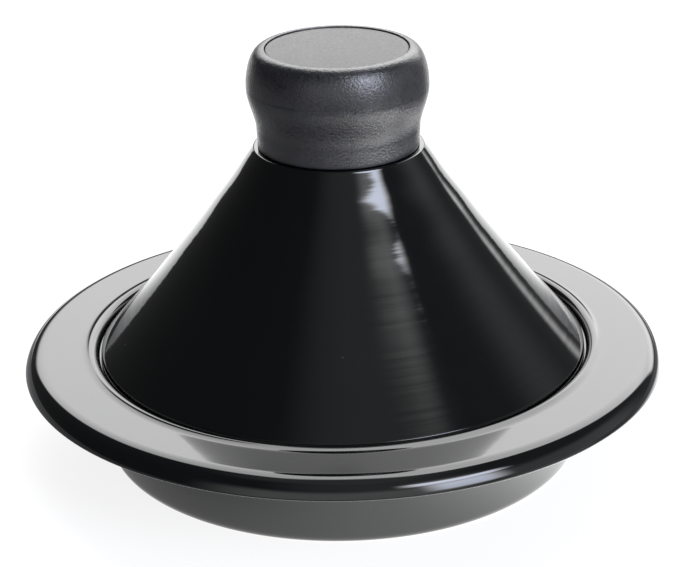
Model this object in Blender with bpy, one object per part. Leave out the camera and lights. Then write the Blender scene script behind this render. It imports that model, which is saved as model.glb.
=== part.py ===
"""Tagine pot: a stoneware cooking dish with a wide flat brim, a conical lid that lifts off it,
and a phenolic knob that one screw holds to the top of the lid.

Units are metres, with +Z up. The origin is the centre of the foot, on the surface that the dish
stands on. Every piece is turned about the Z axis, and touching pieces keep a small gap.
"""
import math

import bmesh
import bpy

# ---- driving dimensions --------------------------------------------------------------------
MM = 0.001
GAP = 0.3 * MM                      # clearance between pieces that touch

BRIM_RADIUS = 135 * MM              # outermost edge of the dish, a sharp lower corner
BRIM_TOP = 45.2 * MM                # brim's flat top
BRIM_ROLL = ((12 * MM, 0, 12), (7.4 * MM, 12, 54), (11 * MM, 54, 77))
                                    # rolled outer edge: radius, and degrees turned at its ends
BEAD_TILT = 24                      # steepest slope, in degrees, of the bead round the lid's seat
GALLERY_RADIUS = 104.2 * MM         # wall of the recess that the lid's foot sits in
LEDGE_TOP = 41.8 * MM               # floor of that recess
WELL_RADIUS = 94.6 * MM             # inside of the cooking well
BODY_FOOT_RADIUS = 101.3 * MM       # outside of the body, just above the foot
BODY_NECK_RADIUS = 99.6 * MM        # outside of the body, under the brim
FLOOR_TOP = 8.5 * MM                # inside floor of the well

LID_FOOT_RADIUS = 103 * MM
LID_WALL = 5.6 * MM                 # thickness of the cone, measured square to its face
SHOULDER_RADIUS = 34.4 * MM         # flat land that the knob stands on
SHOULDER_TOP = 131.6 * MM

KNOB_FOOT_RADIUS = 33.4 * MM
KNOB_NECK_RADIUS = 33.7 * MM
KNOB_CROWN_RADIUS = 37.5 * MM       # widest, at the mould's parting line
KNOB_PARTING = 157.4 * MM
KNOB_TOP = 173 * MM
KNOB_POCKET_RADIUS = 28.5 * MM
DISC_RADIUS = 29.2 * MM
DISC_THICKNESS = 2.4 * MM
DISC_BELOW_LIP = 0.5 * MM

SCREW_RADIUS = 2.85 * MM            # M6 thread, cut back by half of the running gap
SCREW_HOLE_RADIUS = 4 * MM          # clearance hole in the stoneware
INSERT_RADIUS = 5 * MM
INSERT_LENGTH = 11 * MM
WASHER_RADIUS = 11 * MM
WASHER_THICKNESS = 1.5 * MM
GASKET_THICKNESS = 1.5 * MM
SEAL_THICKNESS = 0.8 * MM           # silicone ring between the knob and the lid

SIDES_LARGE = 72
SIDES_KNOB = 56
SIDES_SMALL = 32


# ---- helpers -------------------------------------------------------------------------------
def arc(centre_r, centre_z, radius, start, end, steps=4):
    """Points along a round corner, angles in degrees from the +R direction."""
    angles = [math.radians(start + (end - start) * i / steps) for i in range(steps + 1)]
    return [(centre_r + radius * math.cos(a), centre_z + radius * math.sin(a)) for a in angles]


def clean(outline):
    """The same outline without points that repeat the one before them."""
    kept = [outline[0]]
    for point in outline[1:]:
        if math.dist(point, kept[-1]) > 0.01 * MM:
            kept.append(point)
    return kept


def material(name, colour, roughness, metallic=0.0):
    """A Principled material in one colour."""
    made = bpy.data.materials.new(name)
    made.use_nodes = True
    shader = made.node_tree.nodes["Principled BSDF"]
    shader.inputs["Base Color"].default_value = (*colour, 1.0)
    shader.inputs["Roughness"].default_value = roughness
    shader.inputs["Metallic"].default_value = metallic
    return made


def turned(name, outline, sides, finish, body):
    """Spin an (r, z) outline once round Z. It is a loop, or it runs from the axis to the axis."""
    points = clean(outline)
    on_axis = points[0][0] == 0.0 and points[-1][0] == 0.0
    bm = bmesh.new()
    verts = [bm.verts.new((r, 0.0, z)) for r, z in points]
    following = verts[1:] if on_axis else verts[1:] + verts[:1]
    edges = [bm.edges.new(pair) for pair in zip(verts, following)]
    bmesh.ops.spin(bm, geom=verts + edges, cent=(0, 0, 0), axis=(0, 0, 1),
                   angle=math.tau, steps=sides, use_merge=True)
    bmesh.ops.remove_doubles(bm, verts=bm.verts, dist=0.001 * MM)
    bmesh.ops.recalc_face_normals(bm, faces=bm.faces)
    mesh = bpy.data.meshes.new(name)
    bm.to_mesh(mesh)
    bm.free()
    mesh.shade_smooth()
    mesh.set_sharp_from_angle(angle=math.radians(35))
    mesh.materials.append(finish)
    piece = bpy.data.objects.new(name, mesh)
    bpy.context.collection.objects.link(piece)
    piece.parent = body
    return piece


def body_empty(name):
    """An empty on the shared axis, which the pieces of one body hang from."""
    empty = bpy.data.objects.new(name, None)
    bpy.context.collection.objects.link(empty)
    return empty


# ---- the cone's slope ----------------------------------------------------------------------
SLOPE_START = 129.6 * MM            # the straight part of the cone's side starts here, at the top
SLOPE_START_RADIUS = 36.5 * MM
SLOPE_END = 45.0 * MM
SLOPE_END_RADIUS = 102.4 * MM


def cone_radius(z):
    """Outer radius of the cone at height z: it flares steadily, so its side is slightly hollow."""
    down = (SLOPE_START - z) / (SLOPE_START - SLOPE_END)
    hollow = 2.3 * MM * 4 * down * (1 - down)
    return SLOPE_START_RADIUS + (SLOPE_END_RADIUS - SLOPE_START_RADIUS) * down - hollow


def cone_side(offset, top, bottom, steps):
    """Points down the cone's side from top to bottom, moved inwards by offset, square to it."""
    points = []
    for i in range(steps + 1):
        z = top + (bottom - top) * i / steps
        step = 0.1 * MM
        flare = (cone_radius(z - step) - cone_radius(z + step)) / (2 * step)
        length = math.hypot(1.0, flare)
        points.append((cone_radius(z) - offset / length, z - offset * flare / length))
    return points


# ---- the pieces ----------------------------------------------------------------------------
def make_dish(finish, body):
    """Cooking dish: well, foot, seat for the lid with a low bead round it, and rolled brim."""
    well_fillet = 14 * MM
    bead_hollow = 8 * MM
    bead_crest = 1.2 * MM               # the bead is tight outside its crest
    bead_inside = 3.4 * MM              # and rounder towards the lid
    arris = 0.3 * MM
    foot_round = 4 * MM
    foot_recess = 1.5 * MM
    foot_ring_inside = 84 * MM
    neck_fillet = 6 * MM
    tilt = math.radians(BEAD_TILT)
    roll = []                           # from the flat top outwards, turning further down
    reach = sum(radius * (math.sin(math.radians(end)) - math.sin(math.radians(start)))
                for radius, start, end in BRIM_ROLL)
    centre_r, centre_z, last = BRIM_RADIUS - reach, BRIM_TOP, 0.0
    for radius, start, end in BRIM_ROLL:
        centre_r += (last - radius) * math.sin(math.radians(start))
        centre_z += (last - radius) * math.cos(math.radians(start))
        roll += arc(centre_r, centre_z, radius, 90 - start, 90 - end, 3)
        last = radius
    corner_z = roll[-1][1]
    under_z = corner_z - 1.6 * MM
    crest_r = GALLERY_RADIUS + bead_inside
    bead_r = crest_r + (bead_crest + bead_hollow) * math.sin(tilt)
    crest_z = BRIM_TOP + bead_hollow - (bead_crest + bead_hollow) * math.cos(tilt)
    outline = [(0.0, FLOOR_TOP)]
    outline += arc(WELL_RADIUS - well_fillet, FLOOR_TOP + well_fillet, well_fillet, -90, 0, 6)
    outline += arc(WELL_RADIUS + 1.5 * MM, LEDGE_TOP - 1.5 * MM, 1.5 * MM, 180, 90, 3)
    outline += arc(GALLERY_RADIUS - 0.8 * MM, LEDGE_TOP + 0.8 * MM, 0.8 * MM, -90, 0, 2)
    outline += arc(crest_r, crest_z + bead_crest - bead_inside, bead_inside, 165, 90, 5)
    outline += arc(crest_r, crest_z, bead_crest, 90, 90 - BEAD_TILT, 2)
    outline += arc(bead_r, BRIM_TOP + bead_hollow, bead_hollow, 270 - BEAD_TILT, 270, 3)
    outline += roll
    outline += [(BRIM_RADIUS - arris, corner_z - arris)]
    outline += arc(BODY_NECK_RADIUS + neck_fillet, under_z - neck_fillet, neck_fillet, 90, 180, 4)
    outline += arc(BODY_FOOT_RADIUS - foot_round, foot_round, foot_round, 0, -90, 4)
    outline += [(foot_ring_inside, 0.0)]
    outline += [(foot_ring_inside - foot_recess, foot_recess), (0.0, foot_recess)]
    return turned("base_dish", outline, SIDES_LARGE, finish, body)


def make_lid(finish, body):
    """Conical lid, open below, with a flat shoulder on top and a hole for the screw."""
    foot_bottom = LEDGE_TOP + GAP
    foot_inside = 97.2 * MM
    ceiling = SHOULDER_TOP - 6 * MM
    shoulder_round = 2.2 * MM
    outline = [(SCREW_HOLE_RADIUS, SHOULDER_TOP)]
    outline += arc(SHOULDER_RADIUS, SHOULDER_TOP - shoulder_round, shoulder_round, 90, 38, 3)
    outline += cone_side(0.0, SLOPE_START, SLOPE_END, 9)
    outline += arc(LID_FOOT_RADIUS - 0.9 * MM, foot_bottom + 0.9 * MM, 0.9 * MM, 20, -90, 3)
    outline += arc(foot_inside + 0.9 * MM, foot_bottom + 0.9 * MM, 0.9 * MM, -90, -180, 2)
    outline += list(reversed(cone_side(LID_WALL, SLOPE_START, SLOPE_END + 8 * MM, 8)))
    outline += [(24 * MM, ceiling), (SCREW_HOLE_RADIUS, ceiling)]
    return turned("lid_cone", outline, SIDES_LARGE, finish, body)


def make_knob_body(finish, body):
    """Knob: rounded crown, necked collar, a pocket from above, and a boss that holds the insert."""
    bottom = SHOULDER_TOP + 2 * GAP + SEAL_THICKNESS
    floor = bottom + 4.5 * MM
    boss_radius = 9 * MM
    boss_top = bottom + INSERT_LENGTH + 5 * MM
    seat = KNOB_TOP - DISC_BELOW_LIP - DISC_THICKNESS - GAP
    lip_inside = DISC_RADIUS + GAP
    crown_height = KNOB_TOP - KNOB_PARTING
    flare_height = 18 * MM
    outline = [(INSERT_RADIUS + GAP, bottom), (KNOB_FOOT_RADIUS - 0.5 * MM, bottom)]
    outline += [(KNOB_FOOT_RADIUS, bottom + 0.5 * MM)]
    for i in range(8):
        t = i / 7
        swell = t * t * (3 - 2 * t)
        radius = KNOB_NECK_RADIUS + (KNOB_CROWN_RADIUS - KNOB_NECK_RADIUS) * swell
        outline.append((radius, KNOB_PARTING - flare_height * (1 - t)))
    crown_reach = KNOB_CROWN_RADIUS - (lip_inside + 0.8 * MM)
    for i in range(1, 8):
        a = math.radians(90 * i / 7)
        radius = KNOB_CROWN_RADIUS - crown_reach * (1 - math.cos(a) ** 0.9)
        outline.append((radius, KNOB_PARTING + crown_height * math.sin(a)))
    outline += [(lip_inside, KNOB_TOP - 0.3 * MM), (lip_inside, seat), (KNOB_POCKET_RADIUS, seat)]
    outline += [(KNOB_POCKET_RADIUS, floor + 2 * MM), (KNOB_POCKET_RADIUS - 2 * MM, floor)]
    outline += [(boss_radius, floor), (boss_radius - 0.5 * MM, boss_top), (2 * MM, boss_top)]
    insert_top = bottom + INSERT_LENGTH + 2 * GAP
    outline += [(2 * MM, insert_top), (INSERT_RADIUS + GAP, insert_top)]
    return turned("knob_body", outline, SIDES_KNOB, finish, body)


def make_knob_disc(finish, body):
    """Round cap pressed into the top of the knob. It closes the pocket."""
    top = KNOB_TOP - DISC_BELOW_LIP
    edge = 0.4 * MM
    outline = [(0.0, top), (DISC_RADIUS - edge, top), (DISC_RADIUS, top - edge)]
    outline += [(DISC_RADIUS, top - DISC_THICKNESS), (0.0, top - DISC_THICKNESS)]
    return turned("knob_disc", outline, SIDES_KNOB, finish, body)


def make_insert(finish, body):
    """Brass threaded insert, moulded into the knob's boss from below."""
    bottom = SHOULDER_TOP + 2 * GAP + SEAL_THICKNESS + GAP
    bore = SCREW_RADIUS + GAP
    top = bottom + INSERT_LENGTH
    groove = 0.7 * MM
    outline = [(bore, bottom), (INSERT_RADIUS, bottom), (INSERT_RADIUS, bottom + 4 * MM)]
    outline += [(INSERT_RADIUS - groove, bottom + 4.7 * MM), (INSERT_RADIUS - groove, top - 4.7 * MM)]
    outline += [(INSERT_RADIUS, top - 4 * MM), (INSERT_RADIUS, top), (bore, top)]
    return turned("knob_insert", outline, SIDES_SMALL, finish, body)


def ring(name, inner, outer, bottom, thickness, sides, finish, body):
    """A flat ring, such as a washer or a gasket."""
    top = bottom + thickness
    outline = [(inner, top), (outer, top), (outer, bottom), (inner, bottom)]
    return turned(name, outline, sides, finish, body)


def make_fastening(steel, silicone, body):
    """What holds the knob on: seal above the lid; gasket, washer and pan-head screw inside it."""
    ceiling = SHOULDER_TOP - 6 * MM
    gasket_bottom = ceiling - GAP - GASKET_THICKNESS
    washer_bottom = gasket_bottom - GAP - WASHER_THICKNESS
    head_top = washer_bottom - GAP
    head_radius = 6 * MM
    head_height = 3.6 * MM
    socket_radius = 2.2 * MM
    socket_depth = 2 * MM
    screw_top = SHOULDER_TOP + 2 * GAP + SEAL_THICKNESS + INSERT_LENGTH - 1 * MM
    bore = SCREW_RADIUS + GAP
    ring("knob_seal", SCREW_HOLE_RADIUS, KNOB_FOOT_RADIUS - 0.7 * MM, SHOULDER_TOP + GAP,
         SEAL_THICKNESS, SIDES_KNOB, silicone, body)
    ring("lid_gasket", bore, WASHER_RADIUS - 0.5 * MM, gasket_bottom,
         GASKET_THICKNESS, SIDES_SMALL, silicone, body)
    ring("screw_washer", bore, WASHER_RADIUS, washer_bottom,
         WASHER_THICKNESS, SIDES_SMALL, steel, body)
    outline = [(0.0, screw_top), (SCREW_RADIUS - 0.7 * MM, screw_top)]
    outline += [(SCREW_RADIUS, screw_top - 0.7 * MM), (SCREW_RADIUS, head_top)]
    outline += [(head_radius - 0.3 * MM, head_top), (head_radius, head_top - 0.6 * MM)]
    outline += arc(head_radius - 2 * MM, head_top - head_height + 2 * MM, 2 * MM, 0, -90, 4)
    outline += [(socket_radius, head_top - head_height)]
    outline += [(socket_radius, head_top - head_height + socket_depth)]
    outline += [(0.0, head_top - head_height + socket_depth)]
    turned("knob_screw", outline, SIDES_SMALL, steel, body)


def build():
    """Clear the scene and make every piece."""
    for old in list(bpy.data.objects):
        bpy.data.objects.remove(old, do_unlink=True)
    glaze = material("black_glazed_stoneware", (0.006, 0.007, 0.008), 0.06)
    phenolic = material("charcoal_phenolic", (0.030, 0.030, 0.034), 0.42)
    cap_plastic = material("charcoal_cap", (0.045, 0.044, 0.047), 0.38)
    steel = material("stainless_steel", (0.60, 0.59, 0.57), 0.28, 1.0)
    brass = material("brass", (0.72, 0.50, 0.20), 0.30, 1.0)
    silicone = material("black_silicone", (0.015, 0.015, 0.016), 0.60)
    base = body_empty("base")
    lid = body_empty("lid")
    make_dish(glaze, base)
    make_lid(glaze, lid)
    make_knob_body(phenolic, lid)
    make_knob_disc(cap_plastic, lid)
    make_insert(brass, lid)
    make_fastening(steel, silicone, lid)


build()
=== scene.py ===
# %% [markdown]
# # A glazed stoneware tagine with a moulded knob
#
# A tagine is two pieces of turned clay: a dish, and a tall cone that lies on it and lifts off.
# This one is glazed black all over, and a moulded knob is screwed to the top of the cone.
# Every piece is round, so every piece here is one outline carried round the upright axis.
#
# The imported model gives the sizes, the bodies that move and their names. This script makes the
# surfaces that are seen, and what they are made of.

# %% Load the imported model
import math

import bmesh
import bpy
import numpy as np
from mathutils import Matrix, Vector


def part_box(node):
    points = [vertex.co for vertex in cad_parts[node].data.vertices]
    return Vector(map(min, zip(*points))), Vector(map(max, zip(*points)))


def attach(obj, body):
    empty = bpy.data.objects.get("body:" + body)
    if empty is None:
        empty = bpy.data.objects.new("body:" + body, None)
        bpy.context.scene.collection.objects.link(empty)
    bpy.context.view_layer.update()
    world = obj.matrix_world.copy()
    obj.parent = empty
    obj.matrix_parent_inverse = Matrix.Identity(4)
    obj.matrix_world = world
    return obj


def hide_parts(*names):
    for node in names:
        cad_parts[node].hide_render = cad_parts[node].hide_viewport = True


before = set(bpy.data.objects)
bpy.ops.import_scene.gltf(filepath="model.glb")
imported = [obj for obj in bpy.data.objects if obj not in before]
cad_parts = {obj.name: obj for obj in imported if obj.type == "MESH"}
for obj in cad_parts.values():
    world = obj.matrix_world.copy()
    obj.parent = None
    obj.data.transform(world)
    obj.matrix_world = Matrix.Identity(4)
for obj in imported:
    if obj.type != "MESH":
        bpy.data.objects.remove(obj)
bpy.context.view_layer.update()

# %% [markdown]
# ## Sizes
#
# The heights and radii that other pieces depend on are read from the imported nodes, so a piece
# made here lies exactly where its solid does. All lengths in the script are in metres.

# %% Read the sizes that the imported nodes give
MM = 0.001
GAP = 0.3 * MM                 # left between a piece and the one that it lies on or in
dish_low, dish_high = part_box("base_dish")
lid_low, lid_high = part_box("lid_cone")
knob_low, knob_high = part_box("knob_body")
disc_low, disc_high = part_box("knob_disc")
BRIM_RADIUS = dish_high.x
SHOULDER_TOP = lid_high.z
print("brim radius %.1f mm, shoulder at %.1f mm" % (BRIM_RADIUS / MM, SHOULDER_TOP / MM))

# %% [markdown]
# ## Carrying an outline round the axis
#
# A potter's profile is a line of radius and height. Turning it gives a surface with two
# parameters: how far along the line, and how far round. Numpy works out the whole grid of points
# at once. The line runs with the solid on its right-hand side, over the top, outwards and down,
# so the faces point out of the piece.
#
# A modifier such as Screw could do the same, but a grid of our own can also carry relief, such as
# the faint rings that a potter's tool leaves, and a UV map whose V is the true distance along the
# line, which is what a pattern of rings has to follow.


# %% Points along round corners
SAME_POINT = 1e-6              # points of an outline nearer than this, in metres, are one


def arc(centre_r, centre_z, radius, start, end, steps=8):
    """Points at centre + radius * (cos, sin) of angles spread evenly from start to end degrees."""
    angles = np.radians(np.linspace(start, end, steps + 1))
    return np.stack([centre_r + radius * np.cos(angles), centre_z + radius * np.sin(angles)], 1)


def run(first, last, steps=1):
    """Points on the straight line from first to last, spread evenly."""
    share = np.linspace(0.0, 1.0, steps + 1)[:, None]
    return np.array(first) * (1 - share) + np.array(last) * share


def joined(*parts):
    """The parts one after the other, without points that repeat the one before them."""
    line = np.concatenate([np.atleast_2d(part) for part in parts])
    apart = np.linalg.norm(np.diff(line, axis=0), axis=1) > SAME_POINT
    return line[np.concatenate([[True], apart])]


# %% A turned surface
WELD = 1e-7                    # closes the seam and the poles, in metres
CREASE = 40                    # an edge bent more than this, in degrees, stays sharp


def turned(name, outline, sides, closed=False, relief=None):
    """Surface (r cos a, r sin a, z), where (r, z) runs along the outline and a goes once round.

    relief(a, s, r, z) gives how far each point stands out, square to the outline, in metres.
    """
    line = np.vstack([outline, outline[:1]]) if closed else outline
    flow = np.gradient(line, axis=0)
    if closed:
        flow[0] = flow[-1] = line[1] - line[-2]
    flow /= np.linalg.norm(flow, axis=1, keepdims=True)
    along = np.concatenate([[0.0], np.cumsum(np.linalg.norm(np.diff(line, axis=0), axis=1))])
    around = np.linspace(0.0, math.tau, sides + 1)
    a, s = np.meshgrid(around, along, indexing="ij")
    r = np.broadcast_to(line[:, 0], a.shape)
    z = np.broadcast_to(line[:, 1], a.shape)
    if relief is not None:
        out = relief(a, s, r, z)
        r, z = r - out * flow[:, 1], z + out * flow[:, 0]
        r = np.where(line[:, 0] > 0, r, 0.0)    # a point on the axis stays on it
    points = np.stack([r * np.cos(a), r * np.sin(a), z], -1)
    columns, rows = sides, len(line) - 1
    i, j = np.meshgrid(np.arange(columns), np.arange(rows), indexing="ij")
    corner = (i * (rows + 1) + j).ravel()
    quads = np.stack([corner, corner + 1, corner + rows + 2, corner + rows + 1], 1)
    mesh = bpy.data.meshes.new(name)
    mesh.from_pydata(points.reshape(-1, 3), [], quads)
    uv = np.stack([a / math.tau, s], -1).reshape(-1, 2)[quads.ravel()]
    mesh.uv_layers.new(name="turning").uv.foreach_set("vector", uv.astype(np.float32).ravel())
    bm = bmesh.new()
    bm.from_mesh(mesh)
    bmesh.ops.remove_doubles(bm, verts=bm.verts, dist=WELD)
    bm.to_mesh(mesh)
    bm.free()
    mesh.shade_smooth()
    mesh.set_sharp_from_angle(angle=math.radians(CREASE))
    piece = bpy.data.objects.new(name, mesh)
    bpy.context.scene.collection.objects.link(piece)
    print("%-14s %6d faces" % (name, len(mesh.polygons)))
    return piece


def takes_over(piece, node, body, finish):
    """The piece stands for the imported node, moves with its body and has the finish."""
    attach(piece, body)
    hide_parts(node)
    piece.data.materials.append(finish)


# %% [markdown]
# ## Building materials
#
# Colours are given as they look on a screen, in sRGB hex, and one function turns them into the
# linear numbers that a shader works with. One more function adds a node, so each material below
# reads as a list of what it is made of.


# %% Colours and nodes
def tone(code):
    """Linear red, green, blue and alpha of an sRGB hex colour."""
    shown = np.array([int(code[i:i + 2], 16) for i in (1, 3, 5)]) / 255
    linear = np.where(shown <= 0.04045, shown / 12.92, ((shown + 0.055) / 1.055) ** 2.4)
    return (*linear.tolist(), 1.0)


def add(tree, kind, inputs=None, **settings):
    """Add one node. Settings are its properties; inputs are values, or sockets to link from."""
    made = tree.nodes.new(kind)
    for name, value in settings.items():
        setattr(made, name, value)
    for name, value in (inputs or {}).items():
        if isinstance(value, bpy.types.NodeSocket):
            tree.links.new(value, made.inputs[name])
        else:
            made.inputs[name].default_value = value
    return made


def new_material(name):
    """An empty node material, its tree, its Principled shader, and Object coordinates."""
    made = bpy.data.materials.new(name)
    made.use_nodes = True
    tree = made.node_tree
    shader = tree.nodes["Principled BSDF"]
    place = add(tree, "ShaderNodeTexCoord").outputs["Object"]
    return made, tree, shader, place


# %% [markdown]
# ## Black gloss glaze
#
# The clay is coated with a glaze and fired until the glaze melts into a layer of black glass. The
# eye gets a deep black with mirror-sharp reflections, as on glass with an index of about 1.5.
# Three things tell it from plastic: the rings that the turning tool left in the clay show through
# as fine ripples that stretch each highlight up and down, the melted surface is very slightly
# wavy, and there are a few pinholes and specks.
#
# The ripples are real relief where they are wide, and bump where they are finer than the mesh.
# The ring that the dish stood on in the kiln is wiped clean first, so bare clay shows there.


# %% Glaze material
RING_SPACING = 1.4 * MM        # one pass of the turning tool
WAVE_SIZE = 9 * MM             # gentle waviness of the melted glass
SPECK_SIZE = 5 * MM            # average distance between specks
WIPED_HEIGHT = 0.4 * MM        # clay is bare below this
RING_DRIFT = 6.0               # how much a ring changes on the way round, per metre
CLOUDS = 45.0                  # slow change of colour and gloss, per metre
SPECK_EDGE = (0.02, 0.06)      # where a speck starts to fade and ends, as shares of its cell
SPECK_RARITY = 0.93            # share of the cells that have no speck
PINHOLE_DEPTH = 0.05 * MM
GLAZE_TONES = ("#020405", "#070809")
SPECK_TONE = "#4a4844"
CLAY_TONES = ("#7d6a57", "#a08c75")
GLAZE_ROUGHNESS = (0.045, 0.085)
CLAY_ROUGHNESS = 0.85
GLAZE_IOR = 1.5


def glaze(name, rings, waves, bare_foot=False):
    """Black glass over turned clay. rings and waves are the heights of the relief, in metres.

    With bare_foot, the lowest part is bare clay: a mix by height, from clay to glaze.
    """
    made, tree, shader, place = new_material(name)
    turning = add(tree, "ShaderNodeUVMap", uv_map="turning").outputs["UV"]
    along = add(tree, "ShaderNodeSeparateXYZ", {"Vector": turning}).outputs["Y"]
    across = add(tree, "ShaderNodeSeparateXYZ", {"Vector": place})
    ring_at = add(tree, "ShaderNodeMath", {0: along, 1: 1 / RING_SPACING}, operation="MULTIPLY")
    side_x, side_y = (
        add(tree, "ShaderNodeMath", {0: across.outputs[axis], 1: RING_DRIFT}, operation="MULTIPLY")
        for axis in "XY")
    ring_place = add(tree, "ShaderNodeCombineXYZ", {
        "X": side_x.outputs[0], "Y": side_y.outputs[0], "Z": ring_at.outputs[0]})
    ring = add(tree, "ShaderNodeTexNoise", {
        "Vector": ring_place.outputs[0], "Scale": 0.9, "Detail": 2.0, "Roughness": 0.6})
    wave = add(tree, "ShaderNodeTexNoise", {
        "Vector": place, "Scale": 1 / WAVE_SIZE, "Detail": 1.0, "Roughness": 0.4})
    cell = add(tree, "ShaderNodeTexVoronoi", {
        "Vector": place, "Scale": 1 / SPECK_SIZE, "Randomness": 1.0})
    speck = add(tree, "ShaderNodeMapRange", {
        "Value": cell.outputs["Distance"], "From Min": SPECK_EDGE[0], "From Max": SPECK_EDGE[1],
        "To Min": 1.0, "To Max": 0.0}, interpolation_type="SMOOTHSTEP")
    lucky = add(tree, "ShaderNodeSeparateColor", {"Color": cell.outputs["Color"]})
    few = add(tree, "ShaderNodeMath", {0: lucky.outputs["Red"], 1: SPECK_RARITY},
              operation="GREATER_THAN")
    pinhole = add(tree, "ShaderNodeMath", {0: speck.outputs["Result"], 1: few.outputs[0]},
                  operation="MULTIPLY")
    cloud = add(tree, "ShaderNodeTexNoise", {
        "Vector": place, "Scale": CLOUDS, "Detail": 3.0, "Roughness": 0.55})
    colour = add(tree, "ShaderNodeMix", {
        "Factor": cloud.outputs["Fac"], "A": tone(GLAZE_TONES[0]), "B": tone(GLAZE_TONES[1])},
        data_type="RGBA")
    finish = add(tree, "ShaderNodeMix", {
        "Factor": pinhole.outputs[0], "A": colour.outputs["Result"], "B": tone(SPECK_TONE)},
        data_type="RGBA").outputs["Result"]
    rough = add(tree, "ShaderNodeMapRange", {
        "Value": cloud.outputs["Fac"], "From Min": 0.3, "From Max": 0.7,
        "To Min": GLAZE_ROUGHNESS[0], "To Max": GLAZE_ROUGHNESS[1]}).outputs["Result"]
    if bare_foot:
        wiped = add(tree, "ShaderNodeMapRange", {
            "Value": across.outputs["Z"], "From Min": WIPED_HEIGHT, "From Max": 1.5 * WIPED_HEIGHT,
            "To Min": 1.0, "To Max": 0.0}).outputs["Result"]
        clay = add(tree, "ShaderNodeMix", {
            "Factor": cloud.outputs["Fac"], "A": tone(CLAY_TONES[0]), "B": tone(CLAY_TONES[1])},
            data_type="RGBA")
        finish = add(tree, "ShaderNodeMix", {
            "Factor": wiped, "A": finish, "B": clay.outputs["Result"]},
            data_type="RGBA").outputs["Result"]
        rough = add(tree, "ShaderNodeMapRange", {
            "Value": wiped, "To Min": rough, "To Max": CLAY_ROUGHNESS}).outputs["Result"]
    wavy = add(tree, "ShaderNodeBump", {
        "Height": wave.outputs["Fac"], "Strength": 1.0, "Distance": waves})
    rippled = add(tree, "ShaderNodeBump", {
        "Height": ring.outputs["Fac"], "Strength": 1.0, "Distance": rings,
        "Normal": wavy.outputs["Normal"]})
    pitted = add(tree, "ShaderNodeBump", {
        "Height": pinhole.outputs[0], "Strength": 0.6, "Distance": PINHOLE_DEPTH,
        "Normal": rippled.outputs["Normal"]}, invert=True)
    links = tree.links
    links.new(finish, shader.inputs["Base Color"])
    links.new(rough, shader.inputs["Roughness"])
    links.new(pitted.outputs["Normal"], shader.inputs["Normal"])
    shader.inputs["IOR"].default_value = GLAZE_IOR
    return made


dish_glaze = glaze("black_glaze_on_dish", rings=0.003 * MM, waves=0.010 * MM, bare_foot=True)
lid_glaze = glaze("black_glaze_on_lid", rings=0.009 * MM, waves=0.012 * MM)
print("glazes made")

# %% [markdown]
# ## The dish
#
# The dish is thrown as a shallow bowl, and its lip is folded out into a wide flat brim. Going from
# the middle outwards the outline has the well's floor, its wall, the ledge that the lid stands on,
# a low bead round that seat, the flat brim, a rolled edge with a sharp lower corner, and then the
# underside back to the body and the foot.
#
# The rolled edge is three arcs that share tangents: it starts gently, is tight on top, and opens
# out as it goes down.

# %% Dish outline
FLOOR_TOP = 8.5 * MM
WELL_RADIUS = 94.6 * MM
WELL_FILLET = 14 * MM
LEDGE_TOP = lid_low.z - GAP
GALLERY_RADIUS = 104.2 * MM
BRIM_TOP = 45.2 * MM
BEAD_TILT = 24                 # steepest slope of the bead's outer side, in degrees
BEAD_HOLLOW = 8 * MM
BEAD_CREST = 1.2 * MM
BEAD_INSIDE = 3.4 * MM
# The brim's rolled edge: each arc's radius, and the degrees turned at its two ends.
ROLL = ((12 * MM, 0, 12), (7.4 * MM, 12, 54), (11 * MM, 54, 77))
ARRIS = 0.35 * MM
LEDGE_ROUND = 1.5 * MM
GALLERY_ROUND = 0.8 * MM
BRIM_DROP = 1.4 * MM           # the underside is this far below the roll's lower corner
BODY_NECK_RADIUS = 99.6 * MM
BODY_FOOT_RADIUS = 101.3 * MM
NECK_FILLET = 6 * MM
FOOT_ROUND = 4 * MM
FOOT_INSIDE = 84 * MM
FOOT_RECESS = 1.5 * MM


def polar(radius, degrees):
    """A step of that length, at that angle above the outward direction."""
    return radius * np.array([math.cos(math.radians(degrees)), math.sin(math.radians(degrees))])


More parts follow.
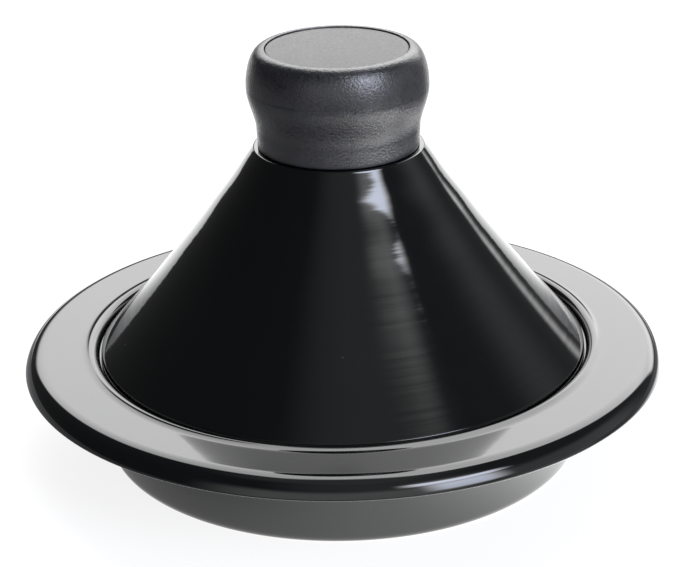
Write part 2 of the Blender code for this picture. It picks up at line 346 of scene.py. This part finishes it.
def dish_outline():
    """The dish's line from the middle of the well's floor, over the brim, to the middle below."""
    rise = (BEAD_CREST + BEAD_HOLLOW) * math.cos(math.radians(BEAD_TILT))
    crest = np.array([GALLERY_RADIUS + BEAD_INSIDE, BRIM_TOP + BEAD_HOLLOW - rise])
    hollow = crest + polar(BEAD_CREST + BEAD_HOLLOW, 90 - BEAD_TILT)
    reach = sum(radius * (math.sin(math.radians(end)) - math.sin(math.radians(start)))
                for radius, start, end in ROLL)
    flat_end = np.array([BRIM_RADIUS - reach, BRIM_TOP])
    centre, last, roll = flat_end.copy(), 0.0, []
    for radius, start, end in ROLL:
        centre += polar(last - radius, 90 - start)
        roll.append(arc(*centre, radius, 90 - start, 90 - end, 14))
        last = radius
    corner = roll[-1][-1]
    under_z = corner[1] - BRIM_DROP
    return joined(
        run((0.0, FLOOR_TOP), (WELL_RADIUS - WELL_FILLET, FLOOR_TOP), 24),
        arc(WELL_RADIUS - WELL_FILLET, FLOOR_TOP + WELL_FILLET, WELL_FILLET, -90, 0, 16),
        arc(WELL_RADIUS + LEDGE_ROUND, LEDGE_TOP - LEDGE_ROUND, LEDGE_ROUND, 180, 90, 8),
        arc(GALLERY_RADIUS - GALLERY_ROUND, LEDGE_TOP + GALLERY_ROUND, GALLERY_ROUND, -90, 0, 6),
        arc(crest[0], crest[1] + BEAD_CREST - BEAD_INSIDE, BEAD_INSIDE, 168, 90, 14),
        arc(*crest, BEAD_CREST, 90, 90 - BEAD_TILT, 8),
        arc(*hollow, BEAD_HOLLOW, 270 - BEAD_TILT, 270, 10),
        run((hollow[0], BRIM_TOP), flat_end, 14),
        *roll,
        arc(corner[0] - ARRIS, corner[1] - 0.1 * MM, ARRIS, 0, -90, 5),
        run((BRIM_RADIUS - 2 * MM, corner[1] - 0.6 * MM), (GALLERY_RADIUS, under_z), 12),
        arc(BODY_NECK_RADIUS + NECK_FILLET, under_z - NECK_FILLET, NECK_FILLET, 90, 180, 10),
        run((BODY_NECK_RADIUS, under_z - NECK_FILLET), (BODY_FOOT_RADIUS, FOOT_ROUND), 16),
        arc(BODY_FOOT_RADIUS - FOOT_ROUND, FOOT_ROUND, FOOT_ROUND, 0, -90, 10),
        run((BODY_FOOT_RADIUS - FOOT_ROUND, 0.0), (FOOT_INSIDE, 0.0), 4),
        arc(FOOT_INSIDE, FOOT_RECESS, FOOT_RECESS, -90, -180, 6),
        run((FOOT_INSIDE - FOOT_RECESS, FOOT_RECESS), (0.0, FOOT_RECESS), 24))


BODY_RING_DEPTH = 0.010 * MM


def dish_relief(a, s, r, z):
    """Soft rings on the body's outside: two sines of the height, drifting on the way round."""
    body = np.clip((34 * MM - z) / (6 * MM), 0, 1) * np.clip((r - 99 * MM) / MM, 0, 1)
    body = body * np.clip((z - 3 * MM) / (4 * MM), 0, 1)
    wave = np.sin(z / (1.1 * MM) + 0.6 * np.sin(a)) + 0.7 * np.sin(z / (0.62 * MM) + 2 * np.cos(a))
    return -BODY_RING_DEPTH * (1 + wave) * body


dish = turned("dish", dish_outline(), 360, relief=dish_relief)
takes_over(dish, "base_dish", "base", dish_glaze)

# %% [markdown]
# ## The lid
#
# The cone's side is slightly hollow: it flares as it comes down, as a parabola added to a straight
# line. On top there is a narrow flat shoulder that the knob stands on, and below there is a
# rounded foot. The outside has a potter's rings on it, wider than the ones that the glaze's own
# bump gives, and they fade where the shoulder and the foot were sponged smooth. Near the top the
# side is also a little wavy, by about a tenth of a millimetre, and a mirror-like glaze shows it:
# a tall light in front looks like an oval, with a broken tail below.

# %% Lid outline
SLOPE_TOP = 129.6 * MM
SLOPE_TOP_RADIUS = 36.5 * MM
SLOPE_FOOT = 45.0 * MM
SLOPE_FOOT_RADIUS = 102.4 * MM
SLOPE_HOLLOW = 2.3 * MM
LID_FOOT_RADIUS = lid_high.x
LID_FOOT_INSIDE = 97.2 * MM
EDGE_ROUND = 0.5 * MM
LID_WALL = 5.6 * MM
SHOULDER_RADIUS = 34.75 * MM
SHOULDER_ROUND = 0.8 * MM
SIDE_TOP = 131.2 * MM
CEILING = SHOULDER_TOP - 6 * MM
SLOPE_SHARE = 0.815            # height over distance along the side
SIDE_ANGLE = 41.6              # the outward normal's angle above level at the side's lower end
RIM_ANGLE = 16                 # and on the lid's rim below it
LID_RING_DEPTH = 0.0022 * MM
LID_RING_LENGTHS = (5.3 * MM, 3.7 * MM, 8.9 * MM)
HAND_DEPTH, HAND_LENGTH, HAND_START = 0.12 * MM, 26 * MM, 10.5 * MM
SCREW_HOLE = 4 * MM


def cone_side(inwards, top, foot, steps):
    """Straight line from top to foot, less a parabola that is deepest halfway, moved inwards."""
    z = np.linspace(top, foot, steps + 1)
    down = (SLOPE_TOP - z) / (SLOPE_TOP - SLOPE_FOOT)
    flare = SLOPE_FOOT_RADIUS - SLOPE_TOP_RADIUS - SLOPE_HOLLOW * 4 * (1 - 2 * down)
    slope = flare / (SLOPE_TOP - SLOPE_FOOT)
    radius = SLOPE_TOP_RADIUS + (SLOPE_FOOT_RADIUS - SLOPE_TOP_RADIUS) * down
    radius = radius - SLOPE_HOLLOW * 4 * down * (1 - down)
    length = np.hypot(1.0, slope)
    return np.stack([radius - inwards / length, z - inwards * slope / length], 1)


def lid_outline():
    """The lid's line: out over the shoulder, down the outside, under the foot, up the inside."""
    foot = 0.9 * MM
    return joined(
        arc(SCREW_HOLE + 0.4 * MM, SHOULDER_TOP - 0.4 * MM, 0.4 * MM, 180, 90, 4),
        run((SCREW_HOLE + 0.4 * MM, SHOULDER_TOP), (SHOULDER_RADIUS, SHOULDER_TOP), 10),
        arc(SHOULDER_RADIUS, SHOULDER_TOP - SHOULDER_ROUND, SHOULDER_ROUND, 90, 38, 10),
        cone_side(0.0, SIDE_TOP, SLOPE_FOOT, 152),
        arc(*(np.array([SLOPE_FOOT_RADIUS, SLOPE_FOOT]) + polar(-EDGE_ROUND, SIDE_ANGLE)),
            EDGE_ROUND, SIDE_ANGLE, RIM_ANGLE, 5),
        arc(LID_FOOT_RADIUS - foot, lid_low.z + foot, foot, RIM_ANGLE, -90, 8),
        arc(LID_FOOT_INSIDE + foot, lid_low.z + foot, foot, -90, -180, 6),
        cone_side(LID_WALL, SLOPE_TOP, SLOPE_FOOT + 8 * MM, 40)[::-1],
        run((24 * MM, CEILING), (SCREW_HOLE, CEILING), 8))


def lid_relief(a, s, r, z):
    """Turning rings: sines of the distance down the cone, each drifting a little on its way round.

    One longer sine, from the potter's hand, is added near the top, and dies out on the way down.
    """
    outside = (r > 36 * MM) & (z > SLOPE_FOOT) & (z < SLOPE_TOP)
    outside = outside & (s < 0.16)          # the line's first 160 mm end before the lid's inside
    fade = np.clip((SLOPE_TOP - z) / (9 * MM), 0, 1) * np.clip((z - SLOPE_FOOT) / (6 * MM), 0, 1)
    first, second, third = (math.tau * s / length for length in LID_RING_LENGTHS)
    wave = np.sin(first + 1.2 * np.sin(a + 0.4))
    wave += 0.8 * np.sin(second + 1.7 * np.cos(a))
    wave += 0.9 * np.sin(third + 0.8 * np.sin(2 * a))
    down = (SLOPE_TOP - z) / SLOPE_SHARE
    hand = -1 - np.sin(math.tau * (down - HAND_START) / HAND_LENGTH)
    hand = hand * np.clip((SLOPE_TOP - z) / (4 * MM), 0, 1)
    hand = hand * np.interp(z, [80 * MM, 100 * MM, 121 * MM], [0.0, 0.4, 1.0])
    return -LID_RING_DEPTH * (2.7 + wave) * fade * outside + HAND_DEPTH * hand * outside


lid = turned("lid", lid_outline(), 360, relief=lid_relief)
takes_over(lid, "lid_cone", "lid", lid_glaze)

# %% [markdown]
# ## Charcoal phenolic
#
# The knob is a phenolic moulding, a hard thermoset that stays cool enough to hold. Its mould was
# spark eroded, which leaves a fine even grain: the surface looks matt, and inside a highlight the
# grain breaks into tiny sparkles. The real grain is about 0.15 mm, which is too fine to show, so
# it is drawn at about 0.7 mm.


# %% Phenolic material
GRAIN_SIZE = 0.7 * MM
BLOTCHES = 120.0               # uneven colour, per metre
PHENOLIC_IOR = 1.55


def phenolic(name, dark, light, roughness, depth, shine):
    """Grained thermoset: colour between dark and light, grain of that depth in metres.

    shine is the specular level, 0.5 for clean plastic and less for a dull one.
    """
    made, tree, shader, place = new_material(name)
    grain = add(tree, "ShaderNodeTexNoise", {
        "Vector": place, "Scale": 1 / GRAIN_SIZE / 2, "Detail": 3.0, "Roughness": 0.7})
    pit = add(tree, "ShaderNodeTexVoronoi", {
        "Vector": place, "Scale": 1 / GRAIN_SIZE / 1.3, "Randomness": 1.0})
    blotch = add(tree, "ShaderNodeTexNoise", {
        "Vector": place, "Scale": BLOTCHES, "Detail": 3.0, "Roughness": 0.6})
    mottle = add(tree, "ShaderNodeMath", {0: grain.outputs["Fac"], 1: blotch.outputs["Fac"]},
                 operation="MULTIPLY")
    colour = add(tree, "ShaderNodeMapRange", {
        "Value": mottle.outputs[0], "From Min": 0.12, "From Max": 0.40})
    shade = add(tree, "ShaderNodeMix", {
        "Factor": colour.outputs["Result"], "A": tone(dark), "B": tone(light)}, data_type="RGBA")
    rough = add(tree, "ShaderNodeMapRange", {
        "Value": grain.outputs["Fac"], "From Min": 0.3, "From Max": 0.7,
        "To Min": roughness - 0.08, "To Max": roughness + 0.08})
    fine = add(tree, "ShaderNodeBump", {
        "Height": grain.outputs["Fac"], "Strength": 1.0, "Distance": depth})
    pitted = add(tree, "ShaderNodeBump", {
        "Height": pit.outputs["Distance"], "Strength": 1.0, "Distance": depth * 0.6,
        "Normal": fine.outputs["Normal"]})
    links = tree.links
    links.new(shade.outputs["Result"], shader.inputs["Base Color"])
    links.new(rough.outputs["Result"], shader.inputs["Roughness"])
    links.new(pitted.outputs["Normal"], shader.inputs["Normal"])
    shader.inputs["IOR"].default_value = PHENOLIC_IOR
    shader.inputs["Specular IOR Level"].default_value = shine
    return made


knob_finish = phenolic("charcoal_phenolic", "#101013", "#212127", 0.33, 0.13 * MM, 0.55)
cap_finish = phenolic("charcoal_cap", "#242326", "#343336", 0.42, 0.06 * MM, 0.33)
print("phenolic made")

# %% [markdown]
# ## The knob
#
# The knob's two mould halves met at its widest diameter and left a fine step there. Above that
# line the crown is a quarter of a rounded oval. Below it the collar narrows along an S-curve, the
# smooth step 3t^2 - 2t^3, and ends in a thin skirt that hides the ring of silicone under it. A
# shallow pocket opens at the top, and a round cap closes it.

# %% Knob outline
PARTING = 157.4 * MM
NECK_RADIUS = 33.7 * MM
FOOT_RADIUS = 33.4 * MM
CROWN_RADIUS = knob_high.x
FLARE_HEIGHT = 18 * MM
LIP_INSIDE = disc_high.x + GAP
SEAT = disc_low.z - GAP
POCKET_RADIUS = 28.5 * MM
INSERT_RADIUS = 5 * MM
INSERT_LENGTH = 11 * MM
BOSS_RADIUS = 9 * MM
LIP_ROUND = 0.35 * MM
LIP_WIDTH = 0.8 * MM
CROWN_FULLNESS = 0.9           # 1 gives an ellipse, and less gives fuller sides
MOULD_STEP = (-0.10 * MM, -0.12 * MM)
SKIRT_ROUND = 0.25 * MM
SKIRT_WIDTH = 0.5 * MM


def knob_outline():
    """The knob's line: from the lip over the crown, down the collar, and back up the inside."""
    bottom, top = knob_low.z, knob_high.z
    rise = np.radians(np.linspace(88, 0, 41))
    reach = CROWN_RADIUS - (LIP_INSIDE + LIP_WIDTH)
    crown = np.stack([CROWN_RADIUS - reach * (1 - np.cos(rise) ** CROWN_FULLNESS),
                      PARTING + (top - PARTING) * np.sin(rise)], 1)
    share = np.linspace(1.0, 0.0, 41)
    swell = share ** 2 * (3 - 2 * share)
    collar = np.stack([NECK_RADIUS + (CROWN_RADIUS - NECK_RADIUS) * swell,
                       PARTING - FLARE_HEIGHT * (1 - share)], 1)
    step_down = np.array([0.0, MOULD_STEP[1]])
    skirt = SHOULDER_TOP + GAP
    floor = bottom + 4.5 * MM
    boss_top = bottom + INSERT_LENGTH + 5 * MM
    hole_top = bottom + INSERT_LENGTH + 0.6 * MM
    hole = INSERT_RADIUS + GAP
    return joined(
        arc(LIP_INSIDE + LIP_ROUND, top - LIP_ROUND, LIP_ROUND, 180, 90, 5),
        crown,
        crown[-1] + MOULD_STEP,
        collar[1:] + step_down,
        run((NECK_RADIUS, PARTING - FLARE_HEIGHT - 0.2 * MM), (FOOT_RADIUS, bottom + 0.6 * MM), 8),
        run((FOOT_RADIUS, bottom), (FOOT_RADIUS, skirt + SKIRT_ROUND), 2),
        arc(FOOT_RADIUS - SKIRT_ROUND, skirt + SKIRT_ROUND, SKIRT_ROUND, 0, -90, 5),
        (FOOT_RADIUS - SKIRT_WIDTH, skirt), (FOOT_RADIUS - SKIRT_WIDTH, bottom),
        run((FOOT_RADIUS - SKIRT_WIDTH - 0.1 * MM, bottom), (hole, bottom), 6),
        (hole, hole_top), (2 * MM, hole_top), (2 * MM, boss_top),
        (BOSS_RADIUS - 0.5 * MM, boss_top), (BOSS_RADIUS, floor),
        arc(POCKET_RADIUS - 2 * MM, floor + 2 * MM, 2 * MM, -90, 0, 5),
        (POCKET_RADIUS, SEAT), (LIP_INSIDE, SEAT))


knob = turned("knob", knob_outline(), 256, closed=True)
takes_over(knob, "knob_body", "lid", knob_finish)

# %% Cap in the knob's top
CAP_HOLLOW = 0.50 * MM


def cap_outline():
    """The cap's line: a face hollowed as a parabola, with a small round at its edge."""
    edge = LIP_ROUND
    radius = disc_high.x
    r = np.linspace(0.0, radius - edge, 25)
    face = np.stack([r, disc_high.z - CAP_HOLLOW * (1 - (r / r[-1]) ** 2)], 1)
    return joined(
        face,
        arc(radius - edge, disc_high.z - edge, edge, 90, 0, 5),
        run((radius, disc_high.z - edge), (radius, disc_low.z), 2),
        run((radius, disc_low.z), (0.0, disc_low.z), 8))


cap = turned("knob_cap", cap_outline(), 192)
takes_over(cap, "knob_disc", "lid", cap_finish)

# %% [markdown]
# ## Fastening
#
# A stainless M6 screw goes up through the lid into a brass insert in the knob. A silicone washer
# under the steel one spreads the load on the stoneware, and a silicone ring under the knob keeps
# steam in. The screw's head and washer show when the lid is lifted. The thread and the knurling
# are relief on the same turned surfaces, which is quicker to make than a modelled helix.
#
# Moulded silicone is matt and nearly black. Turned steel and brass are bright, and the fine marks
# that the tool leaves blur what they reflect. The marks are too fine to show, so all three have
# a mottle of 0.6 to 0.8 mm instead.


# %% Silicone, stainless steel and brass
def plain_finish(name, low, high, roughness, metallic, depth, size):
    """One material with fine mottling: colour from low to high, and relief of that size."""
    made, tree, shader, place = new_material(name)
    grain = add(tree, "ShaderNodeTexNoise", {
        "Vector": place, "Scale": 1 / size, "Detail": 4.0, "Roughness": 0.6})
    shade = add(tree, "ShaderNodeMix", {
        "Factor": grain.outputs["Fac"], "A": tone(low), "B": tone(high)}, data_type="RGBA")
    rough = add(tree, "ShaderNodeMapRange", {
        "Value": grain.outputs["Fac"], "From Min": 0.3, "From Max": 0.7,
        "To Min": roughness - 0.06, "To Max": roughness + 0.06})
    relief = add(tree, "ShaderNodeBump", {
        "Height": grain.outputs["Fac"], "Strength": 1.0, "Distance": depth})
    links = tree.links
    links.new(shade.outputs["Result"], shader.inputs["Base Color"])
    links.new(rough.outputs["Result"], shader.inputs["Roughness"])
    links.new(relief.outputs["Normal"], shader.inputs["Normal"])
    shader.inputs["Metallic"].default_value = metallic
    return made


silicone = plain_finish("black_silicone", "#131314", "#1d1d1e", 0.62, 0.0, 0.03 * MM, 0.8 * MM)
stainless = plain_finish("turned_stainless", "#b9b7b2", "#cfcdc8", 0.26, 1.0, 0.008 * MM, 0.6 * MM)
brass = plain_finish("turned_brass", "#b58a45", "#caa35c", 0.30, 1.0, 0.008 * MM, 0.6 * MM)

# %% Screw, insert, washer and gaskets
THREAD_PITCH = 1.0 * MM
THREAD_DEPTH = 0.35 * MM
SCREW_RADIUS = 2.85 * MM


def ring_outline(node, inner, edge):
    """A flat ring with rounded edges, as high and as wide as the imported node."""
    low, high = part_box(node)
    outer = high.x
    return joined(
        arc(inner + edge, high.z - edge, edge, 180, 90, 4),
        arc(outer - edge, high.z - edge, edge, 90, 0, 4),
        arc(outer - edge, low.z + edge, edge, 0, -90, 4),
        arc(inner + edge, low.z + edge, edge, -90, -180, 4))


def thread(a, s, r, z):
    """A helical ridge: the depth follows a sine of height over pitch, less the turn round."""
    on_shank = (r > SCREW_RADIUS - 0.05 * MM) & (r < SCREW_RADIUS + 0.05 * MM)
    return -THREAD_DEPTH * (0.5 - 0.5 * np.sin(math.tau * z / THREAD_PITCH - a)) * on_shank


def screw_outline():
    """Pan-head screw, from the tip of its shank down to the bottom of its hexagon socket."""
    low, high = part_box("knob_screw")
    head_top = low.z + 3.6 * MM
    head = 6 * MM
    round_edge = 2 * MM
    return joined(
        (0.0, high.z), (SCREW_RADIUS - 0.7 * MM, high.z),
        run((SCREW_RADIUS, high.z - 0.7 * MM), (SCREW_RADIUS, head_top + 0.4 * MM), 150),
        (SCREW_RADIUS, head_top),
        run((SCREW_RADIUS + 0.1 * MM, head_top), (head - 0.3 * MM, head_top), 4),
        (head, head_top - 0.6 * MM),
        arc(head - round_edge, low.z + round_edge, round_edge, 0, -90, 10),
        (2.3 * MM, low.z), (2.1 * MM, low.z + 0.2 * MM), (2.1 * MM, low.z + 2 * MM),
        (0.0, low.z + 2.4 * MM))


def insert_outline():
    """Brass sleeve with two knurled bands and a plain groove between them."""
    low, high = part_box("knob_insert")
    bore = SCREW_RADIUS + GAP
    outer = high.x
    groove = outer - 0.7 * MM
    return joined(
        (bore, high.z), (outer - 0.2 * MM, high.z),
        run((outer, high.z - 0.2 * MM), (outer, high.z - 4 * MM), 4),
        (groove, high.z - 4.7 * MM), (groove, low.z + 4.7 * MM),
        run((outer, low.z + 4 * MM), (outer, low.z + 0.2 * MM), 4),
        (outer - 0.2 * MM, low.z), (bore, low.z))


def knurl(a, s, r, z):
    """Straight knurling: forty sine ridges round the widest part."""
    return -0.12 * MM * (0.5 - 0.5 * np.sin(40 * a)) * (r > INSERT_RADIUS - 0.05 * MM)


small_rings = (
    ("seal", "knob_seal", SCREW_HOLE, 0.25 * MM, "silicone", silicone),
    ("gasket", "lid_gasket", SCREW_RADIUS + GAP, 0.4 * MM, "silicone", silicone),
    ("washer", "screw_washer", SCREW_RADIUS + GAP, 0.15 * MM, "stainless", stainless))
for name, node, inner, edge, slot, finish in small_rings:
    piece = turned(name, ring_outline(node, inner, edge), 128, closed=True)
    takes_over(piece, node, "lid", finish)
screw = turned("screw", screw_outline(), 96, relief=thread)
takes_over(screw, "knob_screw", "lid", stainless)
insert = turned("insert", insert_outline(), 240, closed=True, relief=knurl)
takes_over(insert, "knob_insert", "lid", brass)

# %% [markdown]
# ## Studio
#
# A black gloss surface shows the room more than itself, so the lights are most of how it looks.
# The room is dark except for a big pale panel behind and above the pot, which the flat brim
# reflects, and a soft box in front on the right, which makes the highlights. Near the ground the
# front and the right of the room are pale, and the table glows round the pot.
#
# The world is a picture of the room: its brightness depends on the direction only. A direction is
# turned into two angles, azimuth (0 straight behind the pot, 90 to the right) and height. Lamps
# would do as well, but their edges are hard, and a gloss surface shows every edge.

# %% Angles of a direction, and soft edges between them
world = bpy.data.worlds.new("studio")
bpy.context.scene.world = world
world.use_nodes = True
tree = world.node_tree
tree.nodes.clear()
direction = add(tree, "ShaderNodeTexCoord").outputs["Generated"]
towards = add(tree, "ShaderNodeSeparateXYZ", {"Vector": direction})
azimuth = add(tree, "ShaderNodeMath", {0: towards.outputs["X"], 1: towards.outputs["Y"]},
              operation="ARCTAN2").outputs[0]
height = add(tree, "ShaderNodeMath", {0: towards.outputs["Z"]}, operation="ARCSINE").outputs[0]


def maths(operation, first, second):
    """One Math node on two sockets or numbers."""
    return add(tree, "ShaderNodeMath", {0: first, 1: second}, operation=operation).outputs[0]


def step(angle, start, end):
    """Smooth step of an angle from 0 at start to 1 at end, in degrees."""
    return add(tree, "ShaderNodeMapRange", {
        "Value": angle, "From Min": math.radians(start), "From Max": math.radians(end)},
        interpolation_type="SMOOTHSTEP").outputs["Result"]


def window(angle, low, high, low_soft, high_soft):
    """1 between low and high degrees, falling to 0 over each edge's own softness."""
    return maths("MULTIPLY", step(angle, low - low_soft, low + low_soft),
                 step(angle, high + high_soft, high - high_soft))


def level(angle, start, end, first, last):
    """Straight-line change from first to last between two angles in degrees."""
    return add(tree, "ShaderNodeMapRange", {
        "Value": angle, "From Min": math.radians(start), "From Max": math.radians(end),
        "To Min": first, "To Max": last}).outputs["Result"]


# %% Big panel behind the pot
PANEL_LEFT, PANEL_RIGHT = -31.0, 42.0
PANEL_TOP = 75.0
PANEL_LOW_LEFT, PANEL_LOW_RIGHT = 17.0, 4.0
PANEL_GLOW_LEFT, PANEL_GLOW_RIGHT = 4.3, 5.9

panel_foot = level(azimuth, PANEL_LEFT, PANEL_RIGHT,
                   math.radians(PANEL_LOW_LEFT), math.radians(PANEL_LOW_RIGHT))
above_foot = maths("SUBTRACT", height, panel_foot)
panel = maths("MULTIPLY", window(azimuth, PANEL_LEFT, PANEL_RIGHT, 2.5, 2.5),
              window(height, -5.0, PANEL_TOP, 1.0, 4.0))
panel = maths("MULTIPLY", panel, step(above_foot, -4.0, 6.0))
panel = maths("MULTIPLY", panel, level(azimuth, PANEL_LEFT, PANEL_RIGHT,
                                       PANEL_GLOW_LEFT, PANEL_GLOW_RIGHT))
panel = maths("MULTIPLY", panel, level(height, 20.5, 28.0, 0.76, 1.0))
panel = maths("MULTIPLY", panel, level(height, 45.0, 70.0, 1.0, 1.3))

# %% Soft box: its bright upper part, its lower part, and the spill round it
BOX_AZIMUTH = 138.0
BOX_GLOW, LOWER_GLOW = 15.0, 11.0
SPILL_GLOW_LOW, SPILL_GLOW_HIGH = 2.0, 0.9

box = maths("MULTIPLY", window(azimuth, 120.0, 157.0, 6.0, 6.0),
            window(height, 33.0, 42.8, 2.0, 1.2))
box_glow = maths("MULTIPLY", box, BOX_GLOW)
lower_box = maths("MULTIPLY", window(azimuth, BOX_AZIMUTH - 12, BOX_AZIMUTH + 12, 6.0, 6.0),
                  window(height, 8.0, 31.0, 4.0, 3.0))
lower_box = maths("MULTIPLY", lower_box, LOWER_GLOW)
spill = maths("MULTIPLY", window(azimuth, BOX_AZIMUTH - 13, BOX_AZIMUTH + 13, 9.0, 9.0),
              window(height, 20.0, 50.0, 8.0, 4.0))
spill = maths("MULTIPLY", spill, level(height, 43.0, 51.0, SPILL_GLOW_LOW, SPILL_GLOW_HIGH))

# %% Pale front of the room, haze above it, and the dim rest
FRONT_GLOW, RIGHT_GLOW = 1.1, 0.5
HAZE_AZIMUTH, HAZE_HEIGHT, HAZE_REACH, HAZE_GLOW = 163, 48, 38, 0.26
ROOM_GLOW_LEFT, ROOM_GLOW_RIGHT = 0.07, 0.15
ZENITH_GLOW = 0.3
flat_length = maths("SQRT", maths("SUBTRACT", 1.0, maths("MULTIPLY", towards.outputs["Z"],
                                                         towards.outputs["Z"])), 0.0)
facing = maths("DIVIDE", towards.outputs["Y"], flat_length)
opposite = add(tree, "ShaderNodeMapRange", {
    "Value": facing, "From Min": -0.55, "From Max": -0.93, "To Min": 0.0, "To Max": FRONT_GLOW},
    interpolation_type="SMOOTHSTEP").outputs["Result"]
right_side = maths("MULTIPLY", window(azimuth, 65.0, 130.0, 15.0, 15.0), RIGHT_GLOW)
front = maths("MULTIPLY", maths("MAXIMUM", opposite, right_side),
              window(height, -20.0, 27.0, 5.0, 9.0))
out, up = math.cos(math.radians(HAZE_HEIGHT)), math.sin(math.radians(HAZE_HEIGHT))
ahead = [math.sin(math.radians(HAZE_AZIMUTH)) * out,
         math.cos(math.radians(HAZE_AZIMUTH)) * out, up]
off_ahead = add(tree, "ShaderNodeVectorMath", {0: direction, 1: ahead}, operation="DOT_PRODUCT")
haze = add(tree, "ShaderNodeMapRange", {
    "Value": off_ahead.outputs["Value"], "From Min": math.cos(math.radians(HAZE_REACH)),
    "From Max": 1.0, "To Min": 0.0, "To Max": HAZE_GLOW},
    interpolation_type="SMOOTHSTEP").outputs["Result"]
room = add(tree, "ShaderNodeMapRange", {
    "Value": towards.outputs["X"], "From Min": -1.0, "From Max": 1.0,
    "To Min": ROOM_GLOW_LEFT, "To Max": ROOM_GLOW_RIGHT}).outputs["Result"]
zenith = maths("MULTIPLY", step(height, 62.0, 80.0), ZENITH_GLOW)

# %% All of the room added up, with white behind the pot for the camera only
COOL_TINT = "#e4ebff"          # the soft box is a little bluer than the rest
LOWER_TINT = 0.99 / LOWER_GLOW # share of that tint for each unit of the lower part's glow
glow = room
for part in (panel, front, spill, haze, lower_box, box_glow, zenith):
    glow = maths("ADD", glow, part)
seen = add(tree, "ShaderNodeBackground", {"Color": (1, 1, 1, 1), "Strength": 1.0})
cool = add(tree, "ShaderNodeMix", {
    "Factor": maths("MAXIMUM", box, maths("MULTIPLY", lower_box, LOWER_TINT)),
    "A": tone("#ffffff"), "B": tone(COOL_TINT)}, data_type="RGBA").outputs["Result"]
lit = add(tree, "ShaderNodeBackground", {"Color": cool, "Strength": glow})
ray = add(tree, "ShaderNodeLightPath").outputs["Is Camera Ray"]
mixed = add(tree, "ShaderNodeMixShader", {"Fac": ray, 1: lit.outputs[0], 2: seen.outputs[0]})
add(tree, "ShaderNodeOutputWorld", {"Surface": mixed.outputs[0]})
print("world nodes:", len(tree.nodes))

# %% [markdown]
# ## Table
#
# The table is matt and white. The pot's sides reflect the table near it, so the table has a glow
# of its own there, stronger on the right, that only reflections see. The camera sees an even
# white table, darker only where the pot shades it.

# %% White table
TABLE_REACH = 3.0
TABLE_TONE = "#7c7c7c"         # its own colour shows only as the soft shade under the pot
TABLE_WHITE = 0.85             # glow that the camera sees
corners = [(-1, -1), (1, -1), (1, 1), (-1, 1)]
table_mesh = bpy.data.meshes.new("table")
table_mesh.from_pydata([(x * TABLE_REACH, y * TABLE_REACH, 0.0) for x, y in corners],
                       [], [(0, 1, 2, 3)])
table = bpy.data.objects.new("table", table_mesh)
bpy.context.scene.collection.objects.link(table)
table_paint, tree, shader, place = new_material("white_table")
shader.inputs["Base Color"].default_value = tone(TABLE_TONE)
shader.inputs["Roughness"].default_value = 0.8
shader.inputs["Specular IOR Level"].default_value = 0.0
across = add(tree, "ShaderNodeSeparateXYZ", {"Vector": place})
away = add(tree, "ShaderNodeVectorMath", {0: place}, operation="LENGTH").outputs["Value"]


def ramp(value, start, end, first, last):
    """Smooth change from first to last as the value goes from start to end."""
    return add(tree, "ShaderNodeMapRange", {
        "Value": value, "From Min": start, "From Max": end, "To Min": first, "To Max": last},
        interpolation_type="SMOOTHSTEP").outputs["Result"]


# Places on the table are in metres from the pot's middle.
side, forward = across.outputs["X"], across.outputs["Y"]
# Painted light that only reflections see: a glow round the pot, stronger on the right, a glow on
# the table behind the pot, and one towards the front right. The table is no lamp; these glows
# stand in for the light that falls on it.
across_pool = maths("ADD", ramp(side, -0.20, 0.10, 0.25, 3.0), ramp(side, 0.03, 0.18, 0.0, 4.2))
across_pool = maths("MULTIPLY", across_pool, ramp(forward, 0.02, -0.08, 0.3, 1.0))
pool = maths("MULTIPLY", across_pool, ramp(away, 0.22, 0.32, 1.0, 0.0))
behind = ramp(maths("DIVIDE", forward, away), 0.80, 0.88, 0.0, 1.5)
near_light = maths("MULTIPLY", ramp(side, 0.0, 0.5, 0.0, 0.6),
                   ramp(forward, 0.0, -0.2, 0.0, 1.0))
reflected = maths("ADD", maths("ADD", pool, behind), near_light)
ray = add(tree, "ShaderNodeLightPath").outputs["Is Camera Ray"]
table_glow = add(tree, "ShaderNodeMix", {0: ray, 2: reflected, 3: TABLE_WHITE}).outputs[0]
shader.inputs["Emission Color"].default_value = (1, 1, 1, 1)
tree.links.new(table_glow, shader.inputs["Emission Strength"])
table_mesh.materials.append(table_paint)

# %% [markdown]
# ## Camera
#
# A long lens, a little under a metre away and above the pot, looking down by 23 degrees with a
# slight roll.

# %% Camera
CAMERA_PLACE = Vector((0.0, -0.8394, 0.3818 + 0.0405))
CAMERA_PITCH = 24.46 - 1.624
CAMERA_ROLL = 1.146
SENSOR_WIDTH = 36
FOCAL_SHARE = 2150 / 683       # focal length over the width of the sensor
camera_data = bpy.data.cameras.new("camera")
camera_data.sensor_width = SENSOR_WIDTH
camera_data.lens = FOCAL_SHARE * SENSOR_WIDTH
camera = bpy.data.objects.new("camera", camera_data)
look = Vector((0.0, math.cos(math.radians(CAMERA_PITCH)), -math.sin(math.radians(CAMERA_PITCH))))
turn = look.to_track_quat("-Z", "Y").to_matrix()
turn = turn @ Matrix.Rotation(math.radians(-CAMERA_ROLL), 3, "Z")
camera.matrix_world = Matrix.Translation(CAMERA_PLACE) @ turn.to_4x4()
bpy.context.scene.collection.objects.link(camera)
bpy.context.scene.camera = camera
bpy.context.scene.view_settings.view_transform = "Standard"
